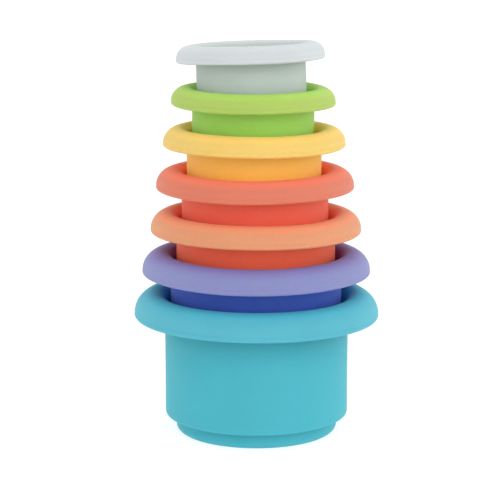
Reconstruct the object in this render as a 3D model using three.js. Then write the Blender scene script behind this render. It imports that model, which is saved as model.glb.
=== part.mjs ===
// A tower of seven soft stacking cups, each standing part of the way down in the cup below.
// Millimetres, +Z up. The origin is on the table, at the centre of the largest cup's foot.
import * as THREE from "three";

// Sizes that every cup shares.
const BASE_THICKNESS = 1.8; // thickness of the cup's bottom
const FOOT_RECESS = 1.0; // how far the middle of the underside is raised off the table
const FOOT_RING = 9.0; // width of the ring that stands on the table, its rounded edge included
const LIP_ROUNDING = 1.1; // radius at the rim's turned-down edge

// The largest cup's body and the thickness of its walls, and how much less each next cup has.
const LARGEST_BODY_RADIUS = 37.55;
const BODY_RADIUS_STEP = 2.57;
const LARGEST_WALL = 2.05;
const WALL_STEP = 0.06;

// Proportions, as shares of the cup's own sizes.
const HEIGHT_PER_RIM_RADIUS = 1.16; // overall height of a cup
const FOOT_RADIUS_PER_BODY = 0.882;
const FOOT_HEIGHT_PER_BODY = 0.184;
const FOOT_EDGE_PER_BODY = 0.07; // radius of the foot's rounded lower edge
const BODY_EDGE_PER_BODY = 0.035; // radius of the body's rounded lower edge
const CREST_PLACE = 0.42; // where the rim is highest, from the mouth (0) to its outer edge (1)
const DOME_EXPONENT = 2.1; // 2 is an ellipse, and more is squarer
const MOUTH_DEPTH_PER_WIDTH = 1.4; // the rounded way in, from the rim's crest to the straight wall

// Turning resolution.
const SEGMENTS = 32; // a multiple of four, so that a cup is equally wide along X and Y
const DOME_STEPS = 6;
const VAULT_STEPS = 2;
const MOUTH_STEPS = 3;
const EDGE_STEPS = 2;

// The cups from the bottom up. rimSize is the rolled rim's outer radius and its depth, and lip is the height
// of its lower edge above the table. side is how far the cup stands off the tower's centre line, along X,
// and lean is how far it leans, in degrees about X and Y.
const CUPS = [
  { name: "aqua_cup", colour: 0x4fb6c9, rimSize: [50.0, 9.8], lip: 48.2, side: 0, lean: [0, 0] },
  { name: "purple_cup", colour: 0x5c60b0, rimSize: [46.6, 9.1], lip: 65.7, side: -0.15, lean: [0, 0.1] },
  { name: "peach_cup", colour: 0xe38a5e, rimSize: [43.0, 8.3], lip: 82.9, side: -0.35, lean: [-0.1, 0.3] },
  { name: "coral_cup", colour: 0xe06c52, rimSize: [40.2, 8.3], lip: 100.6, side: -0.6, lean: [0.2, 0] },
  { name: "yellow_cup", colour: 0xf2be5c, rimSize: [36.9, 7.7], lip: 118.0, side: -1.02, lean: [0, 0.2] },
  { name: "green_cup", colour: 0x92c655, rimSize: [33.3, 7.3], lip: 134.7, side: -1.42, lean: [0, 0.25] },
  { name: "grey_cup", colour: 0xc3cccf, rimSize: [30.1, 6.9], lip: 152.5, side: -1.65, lean: [-2.3, -2.0] },
];
const LEAN_POINT_BELOW_LIP = 21; // a leaning cup turns about this point of its axis, inside the cup below
const SILICONE_ROUGHNESS = 0.7;

// An arc in the plane of radius and height, from one angle to another, in degrees.
function arc(centreR, centreZ, radius, from, to, steps) {
  const points = [];
  for (let i = 0; i <= steps; i += 1) {
    const angle = THREE.MathUtils.degToRad(from + ((to - from) * i) / steps);
    points.push([centreR + radius * Math.cos(angle), centreZ + radius * Math.sin(angle)]);
  }
  return points;
}

// A quarter of a superellipse, from its side (width, 0) to its top (0, height).
function quarterDome(width, height, steps) {
  const points = [];
  for (let i = 0; i <= steps; i += 1) {
    const angle = ((Math.PI / 2) * i) / steps;
    const across = i === steps ? 0 : Math.cos(angle) ** (2 / DOME_EXPONENT);
    points.push([width * across, height * Math.sin(angle) ** (2 / DOME_EXPONENT)]);
  }
  return points;
}

// The sizes of one cup, from its place in the set and its rim. Heights are above its own foot.
function cupSizes(index, rimRadius, rimHeight) {
  const bodyRadius = LARGEST_BODY_RADIUS - BODY_RADIUS_STEP * index;
  const wall = LARGEST_WALL - WALL_STEP * index;
  const innerRadius = bodyRadius - wall;
  const height = HEIGHT_PER_RIM_RADIUS * rimRadius;
  return {
    rimRadius,
    bodyRadius,
    wall,
    innerRadius,
    crestRadius: innerRadius + CREST_PLACE * (rimRadius - innerRadius),
    height,
    lipHeight: height - rimHeight,
    footRadius: FOOT_RADIUS_PER_BODY * bodyRadius,
    footHeight: FOOT_HEIGHT_PER_BODY * bodyRadius,
    footEdge: FOOT_EDGE_PER_BODY * bodyRadius,
    bodyEdge: BODY_EDGE_PER_BODY * bodyRadius,
  };
}

// The underside, the foot and the body's lower edge, from the axis outwards and up.
function underside(cup) {
  const recessRadius = cup.footRadius - FOOT_RING;
  const ledge = cup.footHeight;
  return [
    [0, FOOT_RECESS],
    [recessRadius - FOOT_RECESS, FOOT_RECESS],
    [recessRadius, 0],
    ...arc(cup.footRadius - cup.footEdge, cup.footEdge, cup.footEdge, -90, 0, EDGE_STEPS),
    [cup.footRadius, ledge],
    ...arc(cup.bodyRadius - cup.bodyEdge, ledge + cup.bodyEdge, cup.bodyEdge, -90, 0, EDGE_STEPS),
  ];
}

// The groove under the rim: off the body, over the vault and down the inside of the turned-down skirt.
function groove(cup) {
  const skirtRadius = cup.rimRadius - cup.wall;
  const roof = cup.height - cup.wall;
  const spring = cup.lipHeight + LIP_ROUNDING;
  const innerWidth = cup.crestRadius - cup.bodyRadius;
  const innerDepth = innerWidth * MOUTH_DEPTH_PER_WIDTH;
  const innerVault = quarterDome(innerWidth, innerDepth, VAULT_STEPS);
  const outerVault = quarterDome(skirtRadius - cup.crestRadius, roof - spring, VAULT_STEPS).reverse();
  return [
    ...innerVault.map(([r, z]) => [cup.crestRadius - r, roof - innerDepth + z]),
    ...outerVault.slice(1).map(([r, z]) => [cup.crestRadius + r, spring + z]),
    [skirtRadius, cup.lipHeight],
  ];
}

// The rim's outside: round the turned-down edge, up the dome to the crest and down into the mouth.
function rim(cup) {
  const spring = cup.lipHeight + LIP_ROUNDING;
  const dome = quarterDome(cup.rimRadius - cup.crestRadius, cup.height - spring, DOME_STEPS);
  const mouthWidth = cup.crestRadius - cup.innerRadius;
  const mouthDepth = mouthWidth * MOUTH_DEPTH_PER_WIDTH;
  const mouth = quarterDome(mouthWidth, mouthDepth, MOUTH_STEPS).reverse();
  return [
    [cup.rimRadius - LIP_ROUNDING, cup.lipHeight],
    ...dome.map(([r, z]) => [cup.crestRadius + r, spring + z]),
    ...mouth.slice(1).map(([r, z]) => [cup.crestRadius - r, cup.height - mouthDepth + z]),
  ];
}

// The inside below the mouth: down the wall, over the step and down to the floor, ending on the axis.
function inside(cup) {
  const ledge = cup.footHeight + cup.wall;
  const floor = FOOT_RECESS + BASE_THICKNESS;
  const wellRadius = cup.footRadius - cup.wall;
  return [
    [cup.innerRadius, ledge],
    [wellRadius, ledge],
    [wellRadius, floor],
    [0, floor],
  ];
}

// One moulded cup, turned about its own axis, with its foot at zero height.
function cupGeometry(cup) {
  const profile = [...underside(cup), ...groove(cup), ...rim(cup), ...inside(cup)];
  const points = profile.map(([r, z]) => new THREE.Vector2(r, z));
  return new THREE.LatheGeometry(points, SEGMENTS).rotateX(Math.PI / 2);
}

const tower = new THREE.Group();
CUPS.forEach(({ name, colour, rimSize, lip, side, lean }, index) => {
  const cup = cupSizes(index, ...rimSize);
  const material = new THREE.MeshStandardMaterial({
    color: colour,
    roughness: SILICONE_ROUGHNESS,
    metalness: 0,
  });
  const mesh = new THREE.Mesh(cupGeometry(cup), material);
  mesh.name = name;
  mesh.position.z = LEAN_POINT_BELOW_LIP - cup.lipHeight;
  const stand = new THREE.Group();
  stand.position.set(side, 0, lip - LEAN_POINT_BELOW_LIP);
  stand.rotation.set(...lean.map(THREE.MathUtils.degToRad), 0);
  stand.add(mesh);
  tower.add(stand);
});

export default tower;
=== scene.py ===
"""A tower of seven soft stacking cups, each a finely turned silicone moulding in its CAD solid's place.

Metres, +Z up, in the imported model's own frame.
"""

import math

import bpy
import numpy as np
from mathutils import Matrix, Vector


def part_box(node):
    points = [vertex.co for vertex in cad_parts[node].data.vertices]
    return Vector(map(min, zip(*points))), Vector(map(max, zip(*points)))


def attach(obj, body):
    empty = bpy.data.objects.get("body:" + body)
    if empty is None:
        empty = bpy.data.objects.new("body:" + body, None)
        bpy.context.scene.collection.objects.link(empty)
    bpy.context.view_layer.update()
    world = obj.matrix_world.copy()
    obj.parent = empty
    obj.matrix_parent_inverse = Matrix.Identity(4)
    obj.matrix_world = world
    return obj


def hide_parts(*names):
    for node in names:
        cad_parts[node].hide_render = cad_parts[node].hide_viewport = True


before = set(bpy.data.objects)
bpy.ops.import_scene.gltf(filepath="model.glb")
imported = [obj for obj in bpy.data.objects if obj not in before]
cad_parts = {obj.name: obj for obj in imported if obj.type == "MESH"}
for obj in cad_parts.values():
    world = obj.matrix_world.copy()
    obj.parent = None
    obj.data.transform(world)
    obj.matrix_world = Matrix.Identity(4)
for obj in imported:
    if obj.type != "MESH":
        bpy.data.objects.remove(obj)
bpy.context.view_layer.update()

MM = 0.001

# Sizes of the moulding, the same as the CAD cups'. The overall radii and heights are measured on the CAD.
LARGEST_WALL = 2.05 * MM
WALL_STEP = 0.06 * MM
BASE_THICKNESS = 1.8 * MM
FOOT_RECESS = 1.0 * MM
FOOT_RING = 9.0 * MM
LIP_ROUNDING = 1.1 * MM
FOOT_RADIUS_PER_BODY = 0.882
FOOT_HEIGHT_PER_BODY = 0.184
FOOT_EDGE_PER_BODY = 0.07
BODY_EDGE_PER_BODY = 0.035
CREST_PLACE = 0.42
DOME_EXPONENT = 2.1
MOUTH_DEPTH_PER_WIDTH = 1.4

# How a CAD cup is measured.
POINT_DECIMALS = 7  # CAD points that agree to this many decimals of a metre count as one
RIM_BAND = 1.1  # in walls: the skirt's edge is the lowest point this near the widest radius

# Fillets, which only this fine moulding has.
INNER_FILLET = 1.5 * MM
SMALL_FILLET = 0.6 * MM

# The moulding's parting line: a fine crease round the rim, just above its edge.
SEAM_ABOVE_LIP = 1.8 * MM
SEAM_HALF_WIDTH = 0.4 * MM
SEAM_DEPTH = 0.13 * MM

# Soft silicone is never quite round: each rim waves a little, and the largest one droops to one side.
WAVE = 0.10 * MM
OUT_OF_ROUND = 0.08 * MM
LOOSE_FROM = 0.5  # the share of the lip's height above which a cup starts to be out of true
PHASE_STEP = 1.7  # radians, so that no two cups wave alike
DROOP = {"aqua_cup": 0.33 * MM}
DROOP_DIRECTION = math.radians(-38)  # from +X, turning about the cup's axis

# Turning resolution: round the cup, along its straight stretches, and along each kind of curve.
SEGMENTS = 176
STRAIGHT_STEP = 2.5 * MM
CORNER_STEPS = 4
SMALL_FILLET_STEPS = 5
INNER_FILLET_STEPS = 8
FOOT_EDGE_STEPS = 14
BODY_EDGE_STEPS = 12
INNER_VAULT_STEPS = 10
OUTER_VAULT_STEPS = 18
SKIRT_EDGE_STEPS = 5
LIP_STEPS = 10
DOME_STEPS = 60
MOUTH_STEPS = 20

# The body's deeper colour, which is painted shade and reflected colour from the cups nearby, ends under the
# rim, between these heights, in widths of the gap from body to crest.
BODY_SHADE_FULL = 1.6  # how far below the crest's height the body's colour is full
BODY_SHADE_GONE = 0.2  # and how far below it there is none

# The rim's painted tones. The inside's colour, painted shade and reflected colour, begins a little outside
# the crest, which is also the palest part, painted lighter.
CREST_DEPTH = 3.2 * MM  # how far below the crest, on the outside, both begin
INNER_COLOUR_DEPTH = 1.5 * MM  # how far below the crest, on the inside, the colour is full
CREST_INNER_SHADE = 0.32  # how much of the inside's colour the crest has
# Painted light: the crest is lightened against the shade that the rim above casts on it.
CREST_PAINTED_LIGHT = 0.13  # how much lighter the crest is

LIGHT_REACH = 3.0 * MM  # how far light of the body's colour travels inside the silicone

# The silicone's values, by the names of the shader's sockets.
SILICONE = {
    "IOR": 1.41,
    "Specular IOR Level": 0.2,
    "Sheen Weight": 0.02,
    "Sheen Roughness": 0.5,
    "Subsurface Weight": 0.6,
    "Subsurface Scale": LIGHT_REACH,
}

# Noises, each as its features per metre and its detail. Two vary the colour's brightness and one the gloss.
CLOUDS = (38, 2)
CLOUD_SPAN = (0.975, 1.02)
SPECKS = (900, 3)
SPECK_SPAN = (0.985, 1.015)
GLOSS_PATCHES = (260, 3)
ROUGHNESS = (0.56, 0.68)
NOISE_SPAN = (0.3, 0.7)  # a noise texture's value hardly leaves this span

# Bumps, each as its noise, its strength and its height.
GRAIN = (5200, 2), 0.35, 0.04 * MM
SWELL = (90, 1), 0.5, 0.15 * MM

# Camera. The distance is in metres, and the pitch, down from level, is in degrees.
LENS_MM = 142.4
SENSOR_MM = 36.0
CLIP_START = 0.01
CAMERA_DISTANCE = 0.8088
CAMERA_PITCH = 11.12
AIM = Vector((-0.00265, 0.0, 0.0750))

# Studio. The floor glows a little, as a light table does, so that it stays white round the foot.
WORLD_LIGHT = 0.95
WHITE = (1, 1, 1, 1)
FLOOR_HALF = 12.0  # metres
FLOOR = {
    "Base Color": (0.3, 0.3, 0.3, 1),
    "Roughness": 0.9,
    "Specular IOR Level": 0.1,
    "Emission Color": WHITE,
    "Emission Strength": 0.78,
}
SOFTBOXES = {  # position and size in metres, and power in watts
    "front_softbox": ((0.28, -1.15, 0.75), (1.2, 0.8), 8.0),
    "right_softbox": ((1.20, 0.55, 0.25), (0.9, 0.4), 2.4),
    "left_softbox": ((-1.20, 0.55, 0.25), (0.9, 0.4), 2.0),
}

# Each cup's silicone, as sRGB bytes: the pale rolled rim, the body, deepened with painted shade and
# reflected colour, and the inside, painted shade and reflected colour.
COLOURS = {
    "aqua": ((84, 168, 184), (70, 168, 182), (30, 162, 190)),
    "purple": ((128, 132, 177), (52, 90, 189), (104, 44, 146)),
    "peach": ((205, 142, 105), (255, 100, 71), (250, 126, 88)),
    "coral": ((200, 116, 94), (240, 104, 81), (255, 112, 76)),
    "yellow": ((215, 185, 105), (252, 193, 87), (255, 204, 92)),
    "green": ((160, 182, 93), (155, 209, 94), (150, 216, 84)),
    "grey": ((188, 192, 194), (177, 187, 182), (178, 186, 184)),
}


def linear(colour):
    """An sRGB byte colour as the linear RGBA that shaders take."""
    shares = [c / 255 for c in colour]
    return [c / 12.92 if c <= 0.04045 else ((c + 0.055) / 1.055) ** 2.4 for c in shares] + [1.0]


# ---------------------------------------------------------------- the cups' shape


def measure(node, wall):
    """A CAD cup's outline: the middle of its foot, its axis, and its radii and heights."""
    points = np.unique(np.round([v.co for v in node.data.vertices], POINT_DECIMALS), axis=0)
    middle = points.mean(axis=0)
    directions = np.linalg.eigh(np.cov((points - middle).T))[1].T
    axis = max(directions, key=lambda d: abs(d[2]))
    axis = axis * np.sign(axis[2])
    along = (points - middle) @ axis
    radius = np.linalg.norm(points - middle - np.outer(along, axis), axis=1)
    foot = middle + axis * along.min()
    along = along - along.min()
    return {
        "foot": Vector(foot),
        "axis": Vector(axis),
        "rim": radius.max(),
        "body": radius[along < along.max() / 2].max(),
        "height": along.max(),
        "lip": along[radius > radius.max() - RIM_BAND * wall].min(),
        "wall": wall,
    }


def cup_sizes(node, wall):
    """A CAD cup's measured outline, with the sizes that follow from it."""
    cup = measure(node, wall)
    inner = cup["body"] - wall
    return cup | {
        "inner": inner,
        "crest": inner + CREST_PLACE * (cup["rim"] - inner),
        "foot_radius": FOOT_RADIUS_PER_BODY * cup["body"],
        "foot_height": FOOT_HEIGHT_PER_BODY * cup["body"],
        "foot_edge": FOOT_EDGE_PER_BODY * cup["body"],
        "body_edge": BODY_EDGE_PER_BODY * cup["body"],
    }


def arc(centre, radius, start, end, steps):
    """Points of an arc in the plane of radius and height, between two angles in degrees."""
    angles = np.radians(np.linspace(start, end, steps + 1))
    return [(centre[0] + radius * math.cos(a), centre[1] + radius * math.sin(a)) for a in angles]


def quarter_dome(width, height, steps):
    """A quarter of a superellipse, from its side (width, 0) to its top (0, height)."""
    points = []
    for angle in np.linspace(0, math.pi / 2, steps + 1):
        across = max(math.cos(angle), 0.0) ** (2 / DOME_EXPONENT)
        points.append((width * across, height * math.sin(angle) ** (2 / DOME_EXPONENT)))
    return points


def straight(start, end):
    """The points between two corners, evenly spaced, without the corners."""
    start, end = np.array(start), np.array(end)
    count = int(np.linalg.norm(end - start) / STRAIGHT_STEP)
    return [tuple(start + (end - start) * i / (count + 1)) for i in range(1, count + 1)]


def with_straights(points):
    """The outline with points added along every long straight stretch."""
    filled = []
    for here, there in zip(points, points[1:]):
        filled += [here, *straight(here, there)]
    return filled + [points[-1]]


def underside(cup):
    """From the axis across the recess, down on to the ring that the cup stands on."""
    ring = cup["foot_radius"] - FOOT_RING
    edge = cup["foot_edge"]
    recess_end = (ring - 2 * SMALL_FILLET, FOOT_RECESS - SMALL_FILLET)
    return [
        (0.0, FOOT_RECESS),
        *arc(recess_end, SMALL_FILLET, 90, 30, SMALL_FILLET_STEPS),
        *arc((ring, SMALL_FILLET), SMALL_FILLET, 210, 270, SMALL_FILLET_STEPS),
        *arc((cup["foot_radius"] - edge, edge), edge, -90, 0, FOOT_EDGE_STEPS),
    ]


def step_and_edge(cup):
    """The inward corner above the foot, the narrow ledge and the body's rounded lower edge."""
    ledge, edge = cup["foot_height"], cup["body_edge"]
    corner = (cup["foot_radius"] + SMALL_FILLET / 2, ledge - SMALL_FILLET / 2)
    return [
        *arc(corner, SMALL_FILLET / 2, 180, 90, CORNER_STEPS),
        *arc((cup["body"] - edge, ledge + edge), edge, -90, 0, BODY_EDGE_STEPS),
    ]


def groove(cup):
    """Off the body into the hollow under the rim, over its vault and down the inside of the skirt."""
    roof = cup["height"] - cup["wall"]
    spring = cup["lip"] + LIP_ROUNDING
    inner_width = cup["crest"] - cup["body"]
    inner_depth = inner_width * MOUTH_DEPTH_PER_WIDTH
    outer_width = cup["rim"] - cup["wall"] - cup["crest"]
    inner_vault = quarter_dome(inner_width, inner_depth, INNER_VAULT_STEPS)
    outer_vault = quarter_dome(outer_width, roof - spring, OUTER_VAULT_STEPS)[::-1][1:]
    return [
        *[(cup["crest"] - r, roof - inner_depth + z) for r, z in inner_vault],
        *[(cup["crest"] + r, spring + z) for r, z in outer_vault],
    ]


def lip(cup):
    """The rounded edge of the skirt, from its inside to its outside."""
    inner = cup["wall"] - LIP_ROUNDING
    middle = cup["rim"] - LIP_ROUNDING
    return [
        *arc((middle, cup["lip"] + inner), inner, 180, 270, SKIRT_EDGE_STEPS),
        *arc((middle, cup["lip"] + LIP_ROUNDING), LIP_ROUNDING, -90, 0, LIP_STEPS)[1:],
    ]


def dome(cup):
    """From the edge up over the rim to its crest, with the parting line's crease."""
    spring = cup["lip"] + LIP_ROUNDING
    points = []
    for r, z in quarter_dome(cup["rim"] - cup["crest"], cup["height"] - spring, DOME_STEPS)[1:]:
        off = (spring + z - cup["lip"] - SEAM_ABOVE_LIP) / SEAM_HALF_WIDTH
        points.append((cup["crest"] + r - SEAM_DEPTH * max(0.0, 1 - off * off), spring + z))
    return points


def mouth(cup):
    """From the rim's crest down to the straight inner wall."""
    width = cup["crest"] - cup["inner"]
    depth = width * MOUTH_DEPTH_PER_WIDTH
    slope = quarter_dome(width, depth, MOUTH_STEPS)[::-1][1:]
    return [(cup["crest"] - r, cup["height"] - depth + z) for r, z in slope]


def inside(cup):
    """Down the inner wall, over the step and into the well, ending on the axis."""
    ledge = cup["foot_height"] + cup["wall"]
    floor = FOOT_RECESS + BASE_THICKNESS
    well = cup["foot_radius"] - cup["wall"]
    above_ledge = (cup["inner"] - INNER_FILLET, ledge + INNER_FILLET)
    over_edge = (well + SMALL_FILLET, ledge - SMALL_FILLET)
    above_floor = (well - INNER_FILLET, floor + INNER_FILLET)
    return [
        *arc(above_ledge, INNER_FILLET, 0, -90, INNER_FILLET_STEPS),
        *arc(over_edge, SMALL_FILLET, 90, 180, SMALL_FILLET_STEPS),
        *arc(above_floor, INNER_FILLET, 0, -90, INNER_FILLET_STEPS),
        (0.0, floor),
    ]


def outline(cup):
    """A cup's whole section in two parts: the outside, from the axis underneath, and the inside."""
    outside = underside(cup) + step_and_edge(cup) + groove(cup) + lip(cup) + dome(cup)
    return with_straights(outside), with_straights(mouth(cup) + inside(cup))


def smooth_share(value, low, high):
    """0 below low, 1 above high, and a smooth rise between."""
    t = min(1.0, max(0.0, (value - low) / (high - low)))
    return t * t * (3 - 2 * t)


def body_shade_share(cup, r, z):
    """How far a point of the outside is into the body's deeper colour, painted shade under the rim: 0 on
    the rolled rim and 1 below it.
    """
    gap = cup["crest"] - cup["body"]
    outward = smooth_share(r, cup["body"] - cup["wall"] / 2, cup["crest"])
    sunk = smooth_share(cup["height"] - z, BODY_SHADE_GONE * gap, BODY_SHADE_FULL * gap)
    return sunk * (1 - outward)


def painted_crest_share(cup, z):
    """How near a point is to the rim's crest, where light and the inside's shade are painted: 1 along it
    and 0 from CREST_DEPTH below it.
    """
    return 1 - smooth_share(cup["height"] - z, 0.0, CREST_DEPTH)


def inner_shade_share(cup, z, is_outside):
    """How far a point is into the inside's colour, painted shade and reflected colour, which starts near
    the crest and fills the mouth.
    """
    if is_outside:
        return CREST_INNER_SHADE * painted_crest_share(cup, z)
    return CREST_INNER_SHADE + (1 - CREST_INNER_SHADE) * smooth_share(cup["height"] - z, 0.0, INNER_COLOUR_DEPTH)


def outline_tones(cup, outside, within):
    """The tones of painted shade, reflected colour and crest light that the shader mixes its colours by, at
    each point of the outline in turn.
    """
    outer = [inner_shade_share(cup, z, True) for _, z in outside]
    inner = [inner_shade_share(cup, z, False) for _, z in within]
    return {
        "body_shade_share": [body_shade_share(cup, r, z) for r, z in outside] + [0.0] * len(within),
        "inner_shade_share": outer + inner,
        "painted_crest_share": [painted_crest_share(cup, z) for _, z in outside + within],
    }


def out_of_true(cup, r, z, angle, phase, droop):
    """A point's radius and height at an angle round the cup, which waves a little and may droop."""
    loose = smooth_share(z, cup["lip"] * LOOSE_FROM, cup["lip"]) * r / cup["rim"]
    hang = droop * smooth_share(r, cup["inner"], cup["rim"])
    radius = r + OUT_OF_ROUND * loose * math.cos(2 * angle + phase)
    height = z + WAVE * loose * math.sin(3 * angle + 2 * phase)
    return radius, height - hang * (1 + math.cos(angle - DROOP_DIRECTION))


def turned_faces(ring_sizes):
    """The faces between each ring of points and the next. A ring of one point, on the axis, gets a fan."""
    faces = []
    low = 0
    for size, next_size in zip(ring_sizes, ring_sizes[1:]):
        high = low + size
        for step in range(SEGMENTS):
            ahead = (step + 1) % SEGMENTS
            if size == 1:
                faces.append((low, high + ahead, high + step))
            elif next_size == 1:
                faces.append((low + step, low + ahead, high))
            else:
                faces.append((low + step, low + ahead, high + ahead, high + step))
        low = high
    return faces


def turned_mesh(cup, name, phase, droop):
    """The outline turned about the cup's axis, slightly out of true, as a closed mesh with its tones."""
    outside, within = outline(cup)
    section = outside + within
    ring_sizes = [1 if r == 0 else SEGMENTS for r, _ in section]
    right = (Vector((1, 0, 0)) - cup["axis"] * cup["axis"].x).normalized()
    back = cup["axis"].cross(right)
    points = []
    for (r, z), size in zip(section, ring_sizes):
        for step in range(size):
            angle = 2 * math.pi * step / SEGMENTS
            radius, height = out_of_true(cup, r, z, angle, phase, droop)
            radial = right * math.cos(angle) + back * math.sin(angle)
            points.append(cup["foot"] + radial * radius + cup["axis"] * height)
    mesh = bpy.data.meshes.new(name)
    mesh.from_pydata(points, [], turned_faces(ring_sizes))
    mesh.shade_smooth()
    for tone, shares in outline_tones(cup, outside, within).items():
        attribute = mesh.attributes.new(tone, "FLOAT", "POINT")
        attribute.data.foreach_set("value", np.repeat(np.array(shares, np.float32), ring_sizes))
    return mesh


# ---------------------------------------------------------------- the silicone


def shaded(name, values):
    """A new material and its shader, with the given values on the shader's sockets."""
    material = bpy.data.materials.new(name)
    material.use_nodes = True
    shader = material.node_tree.nodes["Principled BSDF"]
    for socket, value in values.items():
        shader.inputs[socket].default_value = value
    return material, shader


def noise(nodes, links, place, kind):
    """A noise texture in the cup's own space. Kind is its features per metre and its detail."""
    texture = nodes.new("ShaderNodeTexNoise")
    texture.inputs["Scale"].default_value = kind[0]
    texture.inputs["Detail"].default_value = kind[1]
    links.new(place, texture.inputs["Vector"])
    return texture.outputs["Fac"]


def spread(nodes, links, value, span, value_span=NOISE_SPAN):
    """A value stretched from the span that it has to another."""
    ranged = nodes.new("ShaderNodeMapRange")
    sockets = ("From Min", "From Max", "To Min", "To Max")
    for socket, limit in zip(sockets, (*value_span, *span)):
        ranged.inputs[socket].default_value = limit
    links.new(value, ranged.inputs["Value"])
    return ranged.outputs["Result"]


def multiply(nodes, links, a, b):
    """The product of two values."""
    node = nodes.new("ShaderNodeMath")
    node.operation = "MULTIPLY"
    links.new(a, node.inputs[0])
    links.new(b, node.inputs[1])
    return node.outputs["Value"]


def bump(nodes, links, place, kind, strength, height):
    """A noise's relief, as a bump node."""
    node = nodes.new("ShaderNodeBump")
    node.inputs["Strength"].default_value = strength
    node.inputs["Distance"].default_value = height
    links.new(noise(nodes, links, place, kind), node.inputs["Height"])
    return node


def tone_share(nodes, tone):
    """One of the mesh's tones as a shader value."""
    attribute = nodes.new("ShaderNodeAttribute")
    attribute.attribute_name = tone
    return attribute.outputs["Fac"]


def blend(nodes, links, tone, start, end):
    """A mix of two colours by one of the mesh's tones. Start is an output, or a plain colour like end."""
    mix = nodes.new("ShaderNodeMix")
    mix.data_type = "RGBA"
    links.new(tone_share(nodes, tone), mix.inputs["Factor"])
    if isinstance(start, list):
        mix.inputs["A"].default_value = start
    else:
        links.new(start, mix.inputs["A"])
    mix.inputs["B"].default_value = end
    return mix.outputs["Result"]


def silicone_colour(nodes, links, place, rim_colour, body_shade_colour, inner_shade_colour):
    """The three colours blended by the tones, the body's and the inside's being painted shade and reflected
    colour, with soft clouding, fine mottling and painted light on the crest.
    """
    # Painted shade and reflected colour: the body deepens in colour under the rim.
    outer = blend(nodes, links, "body_shade_share", linear(rim_colour), linear(body_shade_colour))
    # Painted shade and reflected colour: the inside's colour darkens and tints the mouth and the inner
    # walls.
    colour = blend(nodes, links, "inner_shade_share", outer, linear(inner_shade_colour))
    clouds = spread(nodes, links, noise(nodes, links, place, CLOUDS), CLOUD_SPAN)
    specks = spread(nodes, links, noise(nodes, links, place, SPECKS), SPECK_SPAN)
    crest = tone_share(nodes, "painted_crest_share")
    # Painted light on the crest, against the shade under the rim above.
    painted_crest_light = spread(nodes, links, crest, (1.0, 1.0 + CREST_PAINTED_LIGHT), (0.0, 1.0))
    mottling = multiply(nodes, links, clouds, specks)
    shade = nodes.new("ShaderNodeVectorMath")
    shade.operation = "SCALE"
    links.new(colour, shade.inputs["Vector"])
    links.new(multiply(nodes, links, mottling, painted_crest_light), shade.inputs["Scale"])
    return shade.outputs["Vector"]


def silicone_relief(nodes, links, place):
    """Fine grain on a slow swell."""
    grain = bump(nodes, links, place, *GRAIN)
    swell = bump(nodes, links, place, *SWELL)
    links.new(swell.outputs["Normal"], grain.inputs["Normal"])
    return grain.outputs["Normal"]


def silicone(name, rim_colour, body_shade_colour, inner_shade_colour):
    """Matt moulded silicone, with light of its body's colour that spreads inside it."""
    material, shader = shaded(name, SILICONE)
    deep = linear(body_shade_colour)[:3]
    shader.inputs["Subsurface Radius"].default_value = [c / max(deep) for c in deep]
    nodes, links = material.node_tree.nodes, material.node_tree.links
    place = nodes.new("ShaderNodeTexCoord").outputs["Object"]
    colour = silicone_colour(nodes, links, place, rim_colour, body_shade_colour, inner_shade_colour)
    rough = spread(nodes, links, noise(nodes, links, place, GLOSS_PATCHES), ROUGHNESS)
    links.new(colour, shader.inputs["Base Color"])
    links.new(rough, shader.inputs["Roughness"])
    links.new(silicone_relief(nodes, links, place), shader.inputs["Normal"])
    return material


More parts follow.
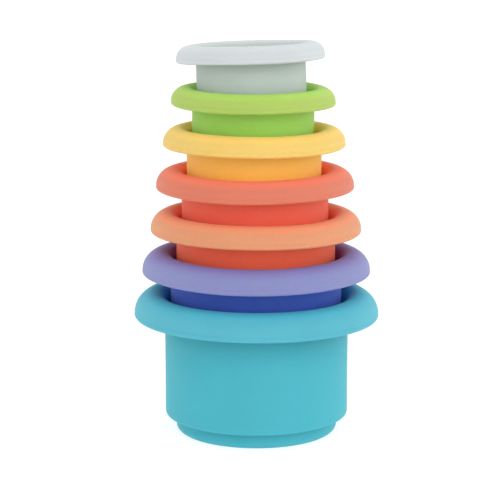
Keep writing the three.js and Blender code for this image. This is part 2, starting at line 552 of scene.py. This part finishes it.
def add_cup(node_name, index):
    """One cup's fine moulding, in place of its CAD solid. Index counts up from the largest cup."""
    cup = cup_sizes(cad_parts[node_name], LARGEST_WALL - index * WALL_STEP)
    colour_name = node_name.removesuffix("_cup")
    piece_name = colour_name + "_moulded_cup"
    droop = DROOP.get(node_name, 0.0)
    mesh = turned_mesh(cup, piece_name, index * PHASE_STEP, droop)
    piece = bpy.data.objects.new(piece_name, mesh)
    piece.data.materials.append(silicone(colour_name + "_silicone", *COLOURS[colour_name]))
    bpy.context.scene.collection.objects.link(piece)
    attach(piece, node_name)
    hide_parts(node_name)


# ---------------------------------------------------------------- the studio


def add_camera():
    """The view of the tower from the front, a little from above."""
    camera = bpy.data.objects.new("camera", bpy.data.cameras.new("camera"))
    camera.data.lens = LENS_MM
    camera.data.sensor_width = SENSOR_MM
    camera.data.clip_start = CLIP_START
    pitch = math.radians(CAMERA_PITCH)
    camera.location = AIM + CAMERA_DISTANCE * Vector((0, -math.cos(pitch), math.sin(pitch)))
    camera.rotation_euler = (math.pi / 2 - pitch, 0, 0)
    bpy.context.scene.collection.objects.link(camera)
    bpy.context.scene.camera = camera


def add_floor():
    """A wide, softly glowing white floor, which is also the background."""
    half = FLOOR_HALF
    mesh = bpy.data.meshes.new("floor")
    corners = [(-half, -half, 0), (half, -half, 0), (half, half, 0), (-half, half, 0)]
    mesh.from_pydata(corners, [], [(0, 1, 2, 3)])
    floor = bpy.data.objects.new("floor", mesh)
    mesh.materials.append(shaded("floor_white", FLOOR)[0])
    bpy.context.scene.collection.objects.link(floor)


def add_softbox(name, position, size, power):
    """A wide lamp that faces the tower's middle."""
    data = bpy.data.lights.new(name, "AREA")
    data.shape = "RECTANGLE"
    data.size, data.size_y = size
    data.energy = power
    lamp = bpy.data.objects.new(name, data)
    lamp.location = position
    lamp.rotation_euler = (AIM - Vector(position)).to_track_quat("-Z", "Y").to_euler()
    bpy.context.scene.collection.objects.link(lamp)


def add_studio():
    """The white surroundings, the floor and the lamps."""
    world = bpy.data.worlds.new("studio")
    world.use_nodes = True
    background = world.node_tree.nodes["Background"]
    background.inputs["Color"].default_value = WHITE
    background.inputs["Strength"].default_value = WORLD_LIGHT
    bpy.context.scene.world = world
    bpy.context.scene.view_settings.view_transform = "Standard"
    add_floor()
    for name, placing in SOFTBOXES.items():
        add_softbox(name, *placing)


add_camera()
for index, node_name in enumerate(sorted(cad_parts, key=lambda n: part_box(n)[0].z)):
    add_cup(node_name, index)
add_studio()
